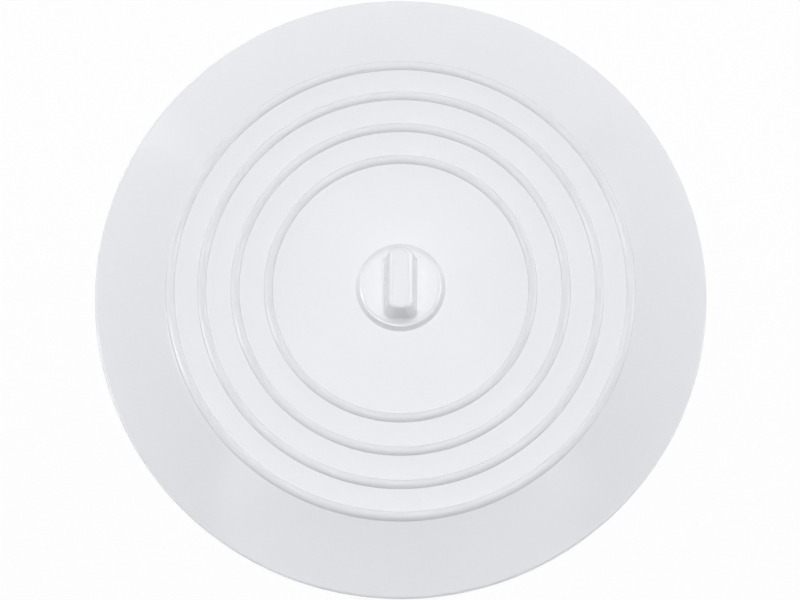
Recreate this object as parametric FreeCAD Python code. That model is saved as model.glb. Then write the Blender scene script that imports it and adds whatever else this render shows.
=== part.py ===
# Round drain stopper for a bath or sink: a soft dished disc with raised ribs, and a pull knob in its centre.
# Millimetres, +Z up. The origin is at the disc's centre, on the surface that the rim lies on.
# The knob's finger bar runs along Y.
import FreeCAD, Part
import os

# Sealing disc, one soft moulding shaped like an upturned saucer
rim_diameter = 152.0
rim_thickness = 1.6
rim_top_round = 0.6
rim_bottom_round = 0.3
land_width = 3.2  # flat band under the rim, which seals on the tub
flange_width = 17.6  # from the outermost rib's foot out to the rim, seen from above
flange_root_round = 0.5  # hollow between the outermost rib and the flange
flange_sag = 0.15  # how far the flange's curve hangs below a straight cone
plate_rise = 8.2  # plate's top above the surface that the rim lies on
plate_wall = 2.6
cavity_inset = 1.5  # cavity's corner under the plate, in from the flange's start
cavity_round = 1.5

# Ribs, low beads round the plate, the outermost at its edge
rib_count = 4
rib_pitch = 8.22  # between the outer feet of two ribs
rib_width = 2.25
rib_height = 1.0

# Hub, the thicker ring under the plate that the knob is held in
hub_diameter = 25.0
hub_depth = 1.0
hub_round = 0.3

# Pull knob, one moulding: a button on the plate, a stem through it, a mushroom foot and a finger bar
stem_diameter = 8.0
foot_diameter = 14.0
foot_edge = 0.5  # straight wall of the mushroom foot, next to the hub
foot_height = 1.6
foot_tip_diameter = 6.0
foot_bulge = 0.2
button_height = 1.6
button_edge_round = 1.1
button_wall_slope = 52.0  # degrees, from level to the button's wall
button_ledge = 0.3  # flat top of the button, round the bar's corners
bar_height = 9.9
bar_foot_length = 16.8
bar_foot_width = 8.9
bar_foot_corner = 1.6
bar_foot_round = 0.3
bar_top_length = 15.3
bar_top_width = 5.8
bar_top_corner = 1.6
bar_top_round = 1.2

# Heights and radii that both pieces follow
plate_top = plate_rise
ceiling = plate_top - plate_wall
hub_face = ceiling - hub_depth
stem_radius = stem_diameter / 2
button_top = plate_top + button_height

ORIGIN = FreeCAD.Vector(0, 0, 0)
OUT = FreeCAD.Vector(1, 0, 0)
ALONG = FreeCAD.Vector(0, 1, 0)
UP = FreeCAD.Vector(0, 0, 1)


def at(radius, height):
    """A point of a turned profile."""
    return FreeCAD.Vector(radius, 0, height)


def line(start, end):
    return Part.LineSegment(start, end).toShape()


def bow(start, end, lift):
    """An arc whose middle stands above the straight line by lift, or below it where lift is negative."""
    middle = (start + end) / 2 + UP * lift
    return Part.Arc(start, middle, end).toShape()


def chain(corners):
    """Straight edges from each corner to the next."""
    return [line(start, end) for start, end in zip(corners, corners[1:])]


def tipped(direction, degrees):
    """A direction of the profile, turned from upwards to outwards."""
    return FreeCAD.Rotation(ALONG, degrees).multVec(direction)


def turned(edges):
    """The solid that a closed profile makes when it turns round the part's axis."""
    return Part.Face(Part.Wire(edges)).revolve(ORIGIN, UP, 360)


def round_ring(solid, corner, rounding):
    """Rounds the circular edge that a corner of the profile has made."""
    def distance(ring):
        return abs(ring.Curve.Radius - corner.x) + abs(ring.Curve.Center.z - corner.z)

    rings = [edge for edge in solid.Edges if isinstance(edge.Curve, Part.Circle)]
    return solid.makeFillet(rounding, [min(rings, key=distance)])


def rounded_rectangle(width, length, corner, height):
    """A closed level wire, width along X and length along Y, with round corners."""
    arcs = []
    for quarter, (x_side, y_side) in enumerate([(1, 1), (-1, 1), (-1, -1), (1, -1)]):
        centre_x = x_side * (width / 2 - corner)
        centre_y = y_side * (length / 2 - corner)
        centre = FreeCAD.Vector(centre_x, centre_y, height)
        arcs.append(Part.makeCircle(corner, centre, UP, quarter * 90, quarter * 90 + 90))
    edges = []
    for arc, following in zip(arcs, arcs[1:] + arcs[:1]):
        edges.append(arc)
        edges.append(line(arc.Vertexes[-1].Point, following.Vertexes[0].Point))
    return Part.Wire(edges)


def sealing_disc():
    """Ribbed plate, flange, sealing band and cavity, turned as one profile round the stem's hole."""
    rim_radius = rim_diameter / 2
    plate_radius = rim_radius - flange_width
    hub_radius = hub_diameter / 2

    hole_top = at(stem_radius, plate_top)
    here = hole_top
    edges = []
    for ribs_outside in reversed(range(rib_count)):
        outer_foot = at(plate_radius - ribs_outside * rib_pitch, plate_top)
        inner_foot = outer_foot - OUT * rib_width
        edges.append(line(here, inner_foot))
        edges.append(bow(inner_foot, outer_foot, rib_height))
        here = outer_foot

    flange_start = here
    rim_top = at(rim_radius, rim_thickness)
    rim_foot = at(rim_radius, 0)
    land_edge = at(rim_radius - land_width, 0)
    cavity_corner = at(flange_start.x - cavity_inset, ceiling)
    edges.append(bow(flange_start, rim_top, -flange_sag))
    edges += chain([rim_top, rim_foot, land_edge])
    edges.append(bow(land_edge, cavity_corner, -flange_sag))

    hub_root = at(hub_radius, ceiling)
    hub_edge = at(hub_radius, hub_face)
    edges += chain([cavity_corner, hub_root, hub_edge, at(stem_radius, hub_face), hole_top])

    disc = turned(edges)
    disc = round_ring(disc, flange_start, flange_root_round)
    disc = round_ring(disc, rim_top, rim_top_round)
    disc = round_ring(disc, rim_foot, rim_bottom_round)
    disc = round_ring(disc, cavity_corner, cavity_round)
    disc = round_ring(disc, hub_root, hub_round)
    return round_ring(disc, hub_edge, hub_round)


def button_and_stem():
    """Button, stem and mushroom foot, turned as one profile."""
    corner_out = bar_foot_length / 2 - bar_foot_corner
    corner_aside = bar_foot_width / 2 - bar_foot_corner
    bar_reach = (corner_out ** 2 + corner_aside ** 2) ** 0.5 + bar_foot_corner
    flat_edge = at(bar_reach + button_ledge, button_top)
    round_centre = flat_edge - UP * button_edge_round
    round_middle = round_centre + tipped(UP, button_wall_slope / 2) * button_edge_round
    wall_top = round_centre + tipped(UP, button_wall_slope) * button_edge_round
    wall_way = tipped(OUT, button_wall_slope)
    wall_foot = wall_top + wall_way * ((plate_top - wall_top.z) / wall_way.z)

    foot_radius = foot_diameter / 2
    foot_tip = hub_face - foot_height
    foot_side = at(foot_radius, hub_face - foot_edge)
    tip_edge = at(foot_tip_diameter / 2, foot_tip)
    stem_top = at(stem_radius, plate_top)
    stem_foot = at(stem_radius, hub_face)
    edges = chain([tip_edge, at(0, foot_tip), at(0, button_top), flat_edge])
    edges.append(Part.Arc(flat_edge, round_middle, wall_top).toShape())
    edges += chain([wall_top, wall_foot, stem_top, stem_foot, at(foot_radius, hub_face), foot_side])
    edges.append(bow(foot_side, tip_edge, -foot_bulge))
    return turned(edges)


def finger_bar():
    """Bar that two fingers pinch: it narrows upwards, with round corners and a round top edge."""
    foot = rounded_rectangle(bar_foot_width, bar_foot_length, bar_foot_corner, button_top)
    top = rounded_rectangle(bar_top_width, bar_top_length, bar_top_corner, button_top + bar_height)
    bar = Part.makeLoft([foot, top], True, True)
    top_face = max(bar.Faces, key=lambda face: face.CenterOfMass.z)
    return bar.makeFillet(bar_top_round, top_face.Edges)


def pull_knob():
    """Button, stem, foot and bar as one piece, with a small round where the bar stands on the button."""
    knob = button_and_stem().fuse(finger_bar()).removeSplitter()
    ringed_faces = [face for face in knob.Faces if len(face.Wires) > 1]
    button_face = max(ringed_faces, key=lambda face: face.CenterOfMass.z)
    bar_outline = min(button_face.Wires, key=lambda wire: wire.Length)
    return knob.makeFillet(bar_foot_round, bar_outline.Edges)


os.makedirs("parts", exist_ok=True)
for name, piece in {"sealing_disc": sealing_disc(), "pull_knob": pull_knob()}.items():
    piece.exportStep(f"parts/{name}.step")
    print(name, "solids", len(piece.Solids), "valid", piece.isValid(), "mm3", round(piece.Volume, 1))
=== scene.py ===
import math

import bpy
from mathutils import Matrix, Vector


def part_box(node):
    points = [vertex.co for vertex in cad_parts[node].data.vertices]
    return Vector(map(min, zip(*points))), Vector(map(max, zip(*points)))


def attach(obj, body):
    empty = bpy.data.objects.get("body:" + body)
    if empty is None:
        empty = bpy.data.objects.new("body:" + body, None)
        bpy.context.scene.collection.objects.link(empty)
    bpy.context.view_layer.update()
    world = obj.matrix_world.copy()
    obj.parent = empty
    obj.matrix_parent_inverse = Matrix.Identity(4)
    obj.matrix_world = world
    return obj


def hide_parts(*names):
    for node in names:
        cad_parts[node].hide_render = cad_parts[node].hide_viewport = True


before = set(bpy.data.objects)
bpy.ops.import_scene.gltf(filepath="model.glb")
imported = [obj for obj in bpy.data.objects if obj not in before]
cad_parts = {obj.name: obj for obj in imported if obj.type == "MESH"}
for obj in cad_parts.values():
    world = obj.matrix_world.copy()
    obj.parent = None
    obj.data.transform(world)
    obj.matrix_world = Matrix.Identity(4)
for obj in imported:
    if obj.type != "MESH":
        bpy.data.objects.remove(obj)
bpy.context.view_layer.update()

# Sealing disc
# One soft moulding of white silicone: a ribbed plate, a flange that slopes down to the tub,
# and a hollow underside. It is turned from one profile here, as its mould is turned on a lathe.
# The knob's stem goes through its centre hole.
MM = 0.001
WELD = 0.001 * MM
disc_low, disc_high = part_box("sealing_disc")
rim_radius = (disc_high.x - disc_low.x) / 2
rim_thickness = 1.6 * MM
rim_top_cut = 0.43 * MM
rim_bottom_cut = 0.25 * MM
flash_height = 0.7 * MM
flash_reach = 0.07 * MM
flash_half_width = 0.12 * MM
land_width = 3.2 * MM
flange_width = 17.6 * MM
flange_sag = 0.15 * MM
plate_top = 8.2 * MM
plate_wall = 2.6 * MM
cavity_inset = 1.5 * MM
cavity_cut = 0.28 * MM
rib_count = 4
rib_pitch = 8.22 * MM
rib_width = 2.25 * MM
rib_height = 1.0 * MM
outer_rib_setback = 0.45 * MM
outer_rib_lean = math.radians(80)
root_round = 0.45 * MM
flange_lean = math.radians(22)
hub_radius = 12.5 * MM
hub_depth = 1.0 * MM
hub_cut = 0.25 * MM
stem_radius = 4.0 * MM
RIB_STEPS = 14
ROOT_STEPS = 8
SLOPE_STEPS = 20
CORNER_STEPS = 5
DISC_STEPS = 360
SHARP_ANGLE = math.radians(40)
FLAT_FACE_WEIGHT = 90


def pick(piece, part, test):
    """Leaves edit mode on, with just those elements selected whose list of points passes the test."""
    bpy.ops.object.mode_set(mode="EDIT")
    bpy.ops.mesh.select_mode(type=part)
    bpy.ops.mesh.select_all(action="DESELECT")
    bpy.ops.object.mode_set(mode="OBJECT")
    points = [vertex.co for vertex in piece.data.vertices]
    if part == "VERT":
        for vertex in piece.data.vertices:
            vertex.select = test([vertex.co])
    else:
        for element in piece.data.edges if part == "EDGE" else piece.data.polygons:
            element.select = test([points[index] for index in element.vertices])
    bpy.ops.object.mode_set(mode="EDIT")


class Profile:
    """A line in the XZ plane, drawn point by point and then turned round the Z axis into a piece."""

    def __init__(self, name, radius, height):
        bpy.ops.object.select_all(action="DESELECT")
        bpy.ops.mesh.primitive_plane_add()
        self.piece = bpy.context.object
        self.piece.name = name
        self.corners = []
        bpy.ops.object.mode_set(mode="EDIT")
        bpy.ops.mesh.select_mode(type="VERT")
        bpy.ops.mesh.select_all(action="SELECT")
        bpy.ops.mesh.merge(type="CENTER")
        bpy.ops.transform.translate(value=(radius, 0, height))
        self.pen = Vector((radius, 0, height))

    def line_to(self, radius, height, rounding=0):
        """Goes straight to a point. With a rounding, that corner is rounded off before the turning."""
        target = Vector((radius, 0, height))
        bpy.ops.mesh.extrude_vertices_move(TRANSFORM_OT_translate={"value": target - self.pen})
        self.pen = target
        if rounding:
            self.corners.append((target, rounding))

    def arc_to(self, radius, height, lift, steps, rounding=0):
        """Goes along an arc whose middle stands off the straight line by lift, to its left."""
        start = self.pen
        end = Vector((radius, 0, height))
        chord = end - start
        across = Vector((-chord.z, 0, chord.x)).normalized()
        half = chord.length / 2
        bend = (half ** 2 + lift ** 2) / (2 * lift)
        centre = (start + end) / 2 + across * (lift - bend)
        spread = 2 * math.asin(half / bend) if abs(lift) < half else math.pi
        for step in range(1, steps + 1):
            turn = -spread * step / steps
            arm = start - centre
            x = arm.x * math.cos(turn) - arm.z * math.sin(turn)
            z = arm.x * math.sin(turn) + arm.z * math.cos(turn)
            last = step == steps
            self.line_to(centre.x + x, centre.z + z, rounding if last else 0)

    def turn(self, steps):
        """Rounds the corners, turns the profile round and returns the piece."""
        for place, rounding in self.corners:
            pick(self.piece, "VERT", lambda points: (points[0] - place).length < WELD)
            bpy.ops.mesh.bevel(offset=rounding, segments=CORNER_STEPS, affect="VERTICES")
        bpy.ops.mesh.select_all(action="SELECT")
        bpy.ops.mesh.remove_doubles(threshold=WELD)
        bpy.ops.mesh.spin(steps=steps, angle=2 * math.pi, center=(0, 0, 0), axis=(0, 0, 1))
        bpy.ops.mesh.select_all(action="SELECT")
        bpy.ops.mesh.remove_doubles(threshold=WELD)
        bpy.ops.mesh.normals_make_consistent(inside=False)
        bpy.ops.object.mode_set(mode="OBJECT")
        return self.piece


def smooth(piece):
    """Smooth shading between faces that meet at less than the sharp angle, with flat faces kept flat."""
    bpy.ops.object.select_all(action="DESELECT")
    piece.select_set(True)
    bpy.context.view_layer.objects.active = piece
    bpy.ops.object.shade_smooth_by_angle(angle=SHARP_ANGLE)
    weighted = piece.modifiers.new("flat_faces", "WEIGHTED_NORMAL")
    weighted.keep_sharp = True
    weighted.weight = FLAT_FACE_WEIGHT
    bpy.ops.object.modifier_apply(modifier=weighted.name)


plate_radius = rim_radius - flange_width
ceiling = plate_top - plate_wall
hub_face = ceiling - hub_depth
disc_profile = Profile("silicone_disc", stem_radius, plate_top)
for ribs_outside in range(rib_count - 1, 0, -1):
    rib_outer_foot = plate_radius - ribs_outside * rib_pitch
    disc_profile.line_to(rib_outer_foot - rib_width, plate_top)
    disc_profile.arc_to(rib_outer_foot, plate_top, rib_height, RIB_STEPS)
rib_round = (rib_width ** 2 / 4 + rib_height ** 2) / (2 * rib_height)
rib_foot_lean = math.asin(rib_width / 2 / rib_round)
outer_rib_middle = plate_radius - outer_rib_setback - rib_width / 2
wall_foot = outer_rib_middle + rib_round * math.sin(outer_rib_lean)
wall_foot_height = plate_top + rib_height - rib_round * (1 - math.cos(outer_rib_lean))
root_edge = wall_foot + root_round * (math.sin(outer_rib_lean) - math.sin(flange_lean))
root_edge_height = wall_foot_height - root_round * (math.cos(flange_lean) - math.cos(outer_rib_lean))
wall_bulge = rib_round * (1 - math.cos((rib_foot_lean + outer_rib_lean) / 2))
root_sag = root_round * (1 - math.cos((outer_rib_lean - flange_lean) / 2))
disc_profile.line_to(outer_rib_middle - rib_width / 2, plate_top)
disc_profile.arc_to(wall_foot, wall_foot_height, wall_bulge, RIB_STEPS)
disc_profile.arc_to(root_edge, root_edge_height, -root_sag, ROOT_STEPS)
disc_profile.arc_to(rim_radius, rim_thickness, -flange_sag, SLOPE_STEPS, rim_top_cut)
disc_profile.line_to(rim_radius, flash_height + flash_half_width)
disc_profile.line_to(rim_radius + flash_reach, flash_height)
disc_profile.line_to(rim_radius, flash_height - flash_half_width)
disc_profile.line_to(rim_radius, 0, rim_bottom_cut)
disc_profile.line_to(rim_radius - land_width, 0)
disc_profile.arc_to(plate_radius - cavity_inset, ceiling, flange_sag, SLOPE_STEPS, cavity_cut)
disc_profile.line_to(hub_radius, ceiling, hub_cut)
disc_profile.line_to(hub_radius, hub_face, hub_cut)
disc_profile.line_to(stem_radius, hub_face)
disc_profile.line_to(stem_radius, plate_top)
disc = disc_profile.turn(DISC_STEPS)
smooth(disc)


class Value:
    """A shader socket that can stand in a sum. Each + - or * on it adds a Math node to its finish."""

    def __init__(self, finish, socket):
        self.finish = finish
        self.socket = socket

    def math(self, operation, first, second):
        return self.finish.node("ShaderNodeMath", {"operation": operation}, {0: first, 1: second})

    def __add__(self, other):
        return self.math("ADD", self, other)

    def __radd__(self, other):
        return self.math("ADD", other, self)

    def __sub__(self, other):
        return self.math("SUBTRACT", self, other)

    def __rsub__(self, other):
        return self.math("SUBTRACT", other, self)

    def __mul__(self, other):
        return self.math("MULTIPLY", self, other)

    def __rmul__(self, other):
        return self.math("MULTIPLY", other, self)


class Finish:
    """The nodes of a material, or of the world, which are added one by one."""

    def __init__(self, owner, shader):
        owner.use_nodes = True
        self.tree = owner.node_tree
        self.shader = self.tree.nodes[shader]

    def node(self, kind, settings=None, sockets=None, output=0):
        """A new node with its settings, and values or links for its sockets. Gives one of its outputs."""
        made = self.tree.nodes.new(kind)
        for name, setting in (settings or {}).items():
            setattr(made, name, setting)
        for name, value in (sockets or {}).items():
            self.feed(made.inputs[name], value)
        return Value(self, made.outputs[output])

    def feed(self, socket, value):
        if isinstance(value, Value):
            self.tree.links.new(value.socket, socket)
        else:
            socket.default_value = value


def silicone(name, pale, shaded):
    """Moulded silicone, faintly cloudy, with light painted into its colour towards the rim, satin patches
    and a fine grain.
    """
    cloud_share = 0.3
    least_roughness = 0.09
    satin_span = 0.05
    material = bpy.data.materials.new(name)
    finish = Finish(material, "Principled BSDF")
    place = finish.node("ShaderNodeTexCoord", output="Object")
    cloud = finish.node("ShaderNodeTexNoise", {}, {"Vector": place, "Scale": 55, "Detail": 3})
    grain = finish.node("ShaderNodeTexNoise", {}, {"Vector": place, "Scale": 2600, "Detail": 2})
    satin = finish.node("ShaderNodeTexNoise", {}, {"Vector": place, "Scale": 240, "Detail": 4})
    reach = finish.node("ShaderNodeVectorMath", {"operation": "LENGTH"}, {0: place}, output="Value")
    # Painted light: the colour grows paler from the plate's edge out to the rim.
    painted_rim_light = finish.node(
        "ShaderNodeMapRange", {}, {"Value": reach, "From Min": plate_radius, "From Max": rim_radius}
    )
    cloud_and_painted_light = cloud_share * cloud + (1 - cloud_share) * (1 - painted_rim_light)
    colour = finish.node(
        "ShaderNodeMix", {"data_type": "RGBA"}, {"Factor": cloud_and_painted_light, "A": pale, "B": shaded}, output="Result"
    )
    bump = finish.node("ShaderNodeBump", {}, {"Height": grain, "Strength": 0.06, "Distance": 0.02 * MM})
    finish.feed(finish.shader.inputs["Base Color"], colour)
    finish.feed(finish.shader.inputs["Roughness"], least_roughness + satin_span * satin)
    finish.feed(finish.shader.inputs["Normal"], bump)
    finish.shader.inputs["IOR"].default_value = 1.43
    return material


# The pale colour at the rim is painted light. The cloud mixes the two colours at random across the disc.
disc_pale = (0.840, 0.848, 0.880, 1)
disc_shaded = (0.788, 0.796, 0.829, 1)
disc.data.materials.append(silicone("disc_silicone", disc_pale, disc_shaded))
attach(disc, "root")
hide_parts("sealing_disc")

# Pull knob
# A second moulding of the same silicone: a button with a finger bar on it, a stem and a mushroom foot.
# It is pushed through the hole in the disc from above, and its foot springs open under the hub.
knob_low, knob_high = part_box("pull_knob")
button_radius = (knob_high.x - knob_low.x) / 2
button_height = 1.6 * MM
button_top = plate_top + button_height
button_edge_width = 1.787 * MM
button_flat_radius = button_radius - button_edge_width
button_edge_round = 1.1 * MM
BUTTON_EDGE_SLOPES = (6, 12, 18, 50, 52)
foot_radius = 7.0 * MM
foot_edge = 0.5 * MM
foot_height = 1.6 * MM
foot_tip_radius = 3.0 * MM
foot_bulge = 0.2 * MM
foot_side_cut = 0.2 * MM
foot_tip_cut = 0.3 * MM
gate_radius = 0.9 * MM
gate_depth = 0.15 * MM
bar_top = knob_high.z
bar_foot_length = 16.2 * MM
bar_foot_width = 8.2 * MM
bar_corner = 2.1 * MM
bar_foot_round = 0.45 * MM
bar_top_length = 15.3 * MM
bar_top_width = 5.8 * MM
bar_top_round = 1.03 * MM
bar_top_fullness = 0.4
near = 0.01 * MM
FOOT_BULGE_STEPS = 8
BAR_CORNER_STEPS = 12
BAR_TOP_STEPS = 8
BAR_FOOT_STEPS = 4
KNOB_STEPS = 144

body_profile = Profile("silicone_knob", button_flat_radius, button_top)
for slope in BUTTON_EDGE_SLOPES:
    edge_out = button_edge_round * math.sin(math.radians(slope))
    edge_fall = button_edge_round * (1 - math.cos(math.radians(slope)))
    body_profile.line_to(button_flat_radius + edge_out, button_top - edge_fall)
body_profile.line_to(button_radius, plate_top)
body_profile.line_to(stem_radius, plate_top)
body_profile.line_to(stem_radius, hub_face)
body_profile.line_to(foot_radius, hub_face)
body_profile.line_to(foot_radius, hub_face - foot_edge, foot_side_cut)
body_profile.arc_to(foot_tip_radius, hub_face - foot_height, foot_bulge, FOOT_BULGE_STEPS, foot_tip_cut)
body_profile.line_to(gate_radius, hub_face - foot_height)
body_profile.line_to(gate_radius, hub_face - foot_height - gate_depth)
body_profile.line_to(0, hub_face - foot_height - gate_depth)
knob = body_profile.turn(KNOB_STEPS)

bar_base = button_top + bar_foot_round
bar_height = bar_top - bar_base
bpy.ops.object.select_all(action="DESELECT")
bpy.ops.mesh.primitive_cube_add(size=1, location=(0, 0, bar_base + bar_height / 2))
bar = bpy.context.object
bar.scale = (bar_foot_width, bar_foot_length, bar_height)
bpy.ops.object.transform_apply(location=True, rotation=True, scale=True)
pick(bar, "VERT", lambda points: points[0].z > bar_top - near)
narrowing = (bar_top_width / bar_foot_width, bar_top_length / bar_foot_length, 1)
bpy.ops.transform.resize(value=narrowing, center_override=(0, 0, bar_top))
pick(bar, "EDGE", lambda points: abs(points[0].z - points[1].z) > near)
bpy.ops.mesh.bevel(offset=bar_corner, segments=BAR_CORNER_STEPS, affect="EDGES")
pick(bar, "EDGE", lambda points: all(point.z > bar_top - near for point in points))
bpy.ops.mesh.bevel(
    offset=bar_top_round, segments=BAR_TOP_STEPS, profile=bar_top_fullness, affect="EDGES"
)
pick(bar, "FACE", lambda points: all(point.z < bar_base + near for point in points))
bpy.ops.mesh.delete(type="ONLY_FACE")
pick(bar, "EDGE", lambda points: all(point.z < bar_base + near for point in points))
spread, drop = 0, 0
for step in range(1, BAR_FOOT_STEPS + 1):
    turn = math.radians(90) * step / BAR_FOOT_STEPS
    new_spread = bar_foot_round * (1 - math.cos(turn))
    new_drop = bar_foot_round * math.sin(turn)
    bpy.ops.mesh.extrude_edges_move(TRANSFORM_OT_translate={"value": (0, 0, drop - new_drop)})
    wider = (bar_foot_width / 2 + new_spread) / (bar_foot_width / 2 + spread)
    longer = (bar_foot_length / 2 + new_spread) / (bar_foot_length / 2 + spread)
    bpy.ops.transform.resize(value=(wider, longer, 1), center_override=(0, 0, 0))
    spread, drop = new_spread, new_drop
bpy.ops.object.mode_set(mode="OBJECT")

bpy.ops.object.select_all(action="DESELECT")
bar.select_set(True)
knob.select_set(True)
bpy.context.view_layer.objects.active = knob
bpy.ops.object.join()
pick(knob, "EDGE", lambda points: all(abs(point.z - button_top) < near for point in points))
bpy.ops.mesh.bridge_edge_loops()
bpy.ops.mesh.select_all(action="SELECT")
bpy.ops.mesh.remove_doubles(threshold=WELD)
bpy.ops.mesh.normals_make_consistent(inside=False)
bpy.ops.object.mode_set(mode="OBJECT")
smooth(knob)
# The knob's colours are a darker copy of the disc's. This is painted shade that offsets the light
# bouncing off the bar onto the button.
knob_pale = (0.824, 0.832, 0.864, 1)
knob_shaded = (0.772, 0.780, 0.812, 1)
knob.data.materials.append(silicone("knob_silicone", knob_pale, knob_shaded))
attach(knob, "root")
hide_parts("pull_knob")

# Floor
# A plain white sheet that the stopper lies on.
# It shows white where it is looked at, and keeps part of the soft shadow.
floor_width = 12.0
glow_share = 0.9
bpy.ops.object.select_all(action="DESELECT")
bpy.ops.mesh.primitive_plane_add(size=floor_width)
floor = bpy.context.object
floor.name = "floor"
white_floor = bpy.data.materials.new("white_floor")
sheet = Finish(white_floor, "Principled BSDF")
sheet.feed(sheet.shader.inputs["Base Color"], (0.97, 0.97, 0.97, 1))
sheet.feed(sheet.shader.inputs["Roughness"], 1.0)
glow = sheet.node("ShaderNodeEmission", {}, {"Color": (1, 1, 1, 1), "Strength": 1.0})


def shown(finish):
    """Is 1 where the surface or its reflection is looked at, and 0 where it only sends light on."""
    seen = finish.node("ShaderNodeLightPath", output="Is Camera Ray")
    mirrored = finish.node("ShaderNodeLightPath", output="Is Glossy Ray")
    through = finish.node("ShaderNodeLightPath", output="Is Transmission Ray")
    return seen + mirrored + through


plain = Value(sheet, sheet.shader.outputs[0])
blend = sheet.node("ShaderNodeMixShader", {}, {0: glow_share * shown(sheet), 1: plain, 2: glow})
sheet.feed(sheet.tree.nodes["Material Output"].inputs["Surface"], blend)
floor.data.materials.append(white_floor)

# Light
# A softbox overhead and low panels at the sides and behind give the light.
# Sheets, windows and narrow strips show only in reflections. Some strips show on the disc alone,
# and others on the knob alone, where they draw the thin white lines along its edges.
world = bpy.data.worlds.new("studio")
bpy.context.scene.world = world
sky = Finish(world, "Background")
sky.feed(sky.shader.inputs["Color"], (1, 1, 1, 1))
sky.feed(sky.shader.inputs["Strength"], 0.34)


def softbox(name, azimuth, elevation, width, height, radiance, distance=1.2):
    """A rectangular lamp that faces the stopper, as bright as radiance times a fully lit white sheet."""
    turn, rise = math.radians(azimuth), math.radians(elevation)
    towards = Vector((math.cos(turn) * math.cos(rise), math.sin(turn) * math.cos(rise), math.sin(rise)))
    bpy.ops.object.light_add(type="AREA", location=towards * distance)
    lamp = bpy.context.object
    lamp.name = name
    lamp.rotation_mode = "QUATERNION"
    lamp.rotation_quaternion = towards.to_track_quat("Z", "Y")
    lamp.data.shape = "RECTANGLE"
    lamp.data.size = width
    lamp.data.size_y = height
    lamp.data.energy = radiance * math.pi * width * height
    return lamp


for light in (
    softbox("overhead_softbox", 90, 84, 0.26, 0.26, 10.4, distance=0.7),
    softbox("left_panel", 180, 12, 1.6, 0.5, 1.6),
    softbox("right_panel", 0, 12, 1.6, 0.5, 1.5),
    softbox("back_panel", 90, 12, 1.6, 0.5, 1.2),
):
    light.visible_glossy = False

for reflection in (
    softbox("top_reflector", 90, 78, 0.46, 0.46, 3.2),
    softbox("left_window", 182, 32, 0.28, 0.26, 20.0),
    softbox("right_window", 4, 21, 0.28, 0.26, 8.0),
    softbox("left_reflector", 180, 46, 1.8, 0.6, 1.2),
    softbox("right_reflector", 0, 45, 1.8, 0.6, 1.2),
    softbox("front_reflector", 270, 57, 2.0, 0.36, 2.4),
    softbox("back_reflector", 93, 38, 1.6, 0.51, 1.3),
):
    reflection.visible_diffuse = False

disc_only = bpy.data.collections.new("disc_only")
disc_only.objects.link(disc)
for sheen in (
    softbox("disc_left_strip", 180, 22, 1.8, 0.25, 6.0),
    softbox("disc_right_strip", 0, 22, 1.8, 0.25, 5.0),
):
    sheen.visible_diffuse = False
    sheen.light_linking.receiver_collection = disc_only

knob_only = bpy.data.collections.new("knob_only")
knob_only.objects.link(knob)
for glint in (
    softbox("knob_left_strip", 180, 22, 1.8, 0.25, 11.0),
    softbox("knob_right_strip", 0, 22, 1.8, 0.25, 11.0),
    softbox("knob_right_edge_strip", 12, 9, 0.2, 0.25, 7.5),
    softbox("knob_front_strip", 270, 34, 1.6, 0.25, 13.0),
    softbox("knob_front_edge_strip", 270, 21, 0.6, 0.25, 6.0),
    softbox("knob_front_left_strip", 226, 31, 0.45, 0.25, 10.0),
    softbox("knob_front_right_strip", 314, 31, 0.45, 0.25, 9.0),
    softbox("knob_back_left_strip", 133, 15, 0.45, 0.25, 7.0),
    softbox("knob_back_right_strip", 47, 15, 0.45, 0.25, 7.0),
    softbox("knob_back_strip", 90, 12, 1.6, 0.25, 7.0),
):
    glint.visible_diffuse = False
    glint.light_linking.receiver_collection = knob_only

# Camera
# It looks down from the front, as the photograph does, with a long lens.
camera_elevation = math.radians(77.8)
camera_distance = 763 * MM
aim_aside = -0.15 * MM
aim_drop = 1.52 * MM
camera_data = bpy.data.cameras.new("camera")
camera = bpy.data.objects.new("camera", camera_data)
bpy.context.scene.collection.objects.link(camera)
bpy.context.scene.camera = camera
camera_data.sensor_width = 36
camera_data.lens = 138
back = Vector((0, -math.cos(camera_elevation), math.sin(camera_elevation)))
up = Vector((0, math.sin(camera_elevation), math.cos(camera_elevation)))
aim = Vector((aim_aside, 0, rim_thickness / 2)) - up * aim_drop
camera.location = aim + back * camera_distance
camera.rotation_mode = "QUATERNION"
camera.rotation_quaternion = back.to_track_quat("Z", "Y")
bpy.context.scene.view_settings.view_transform = "Standard"
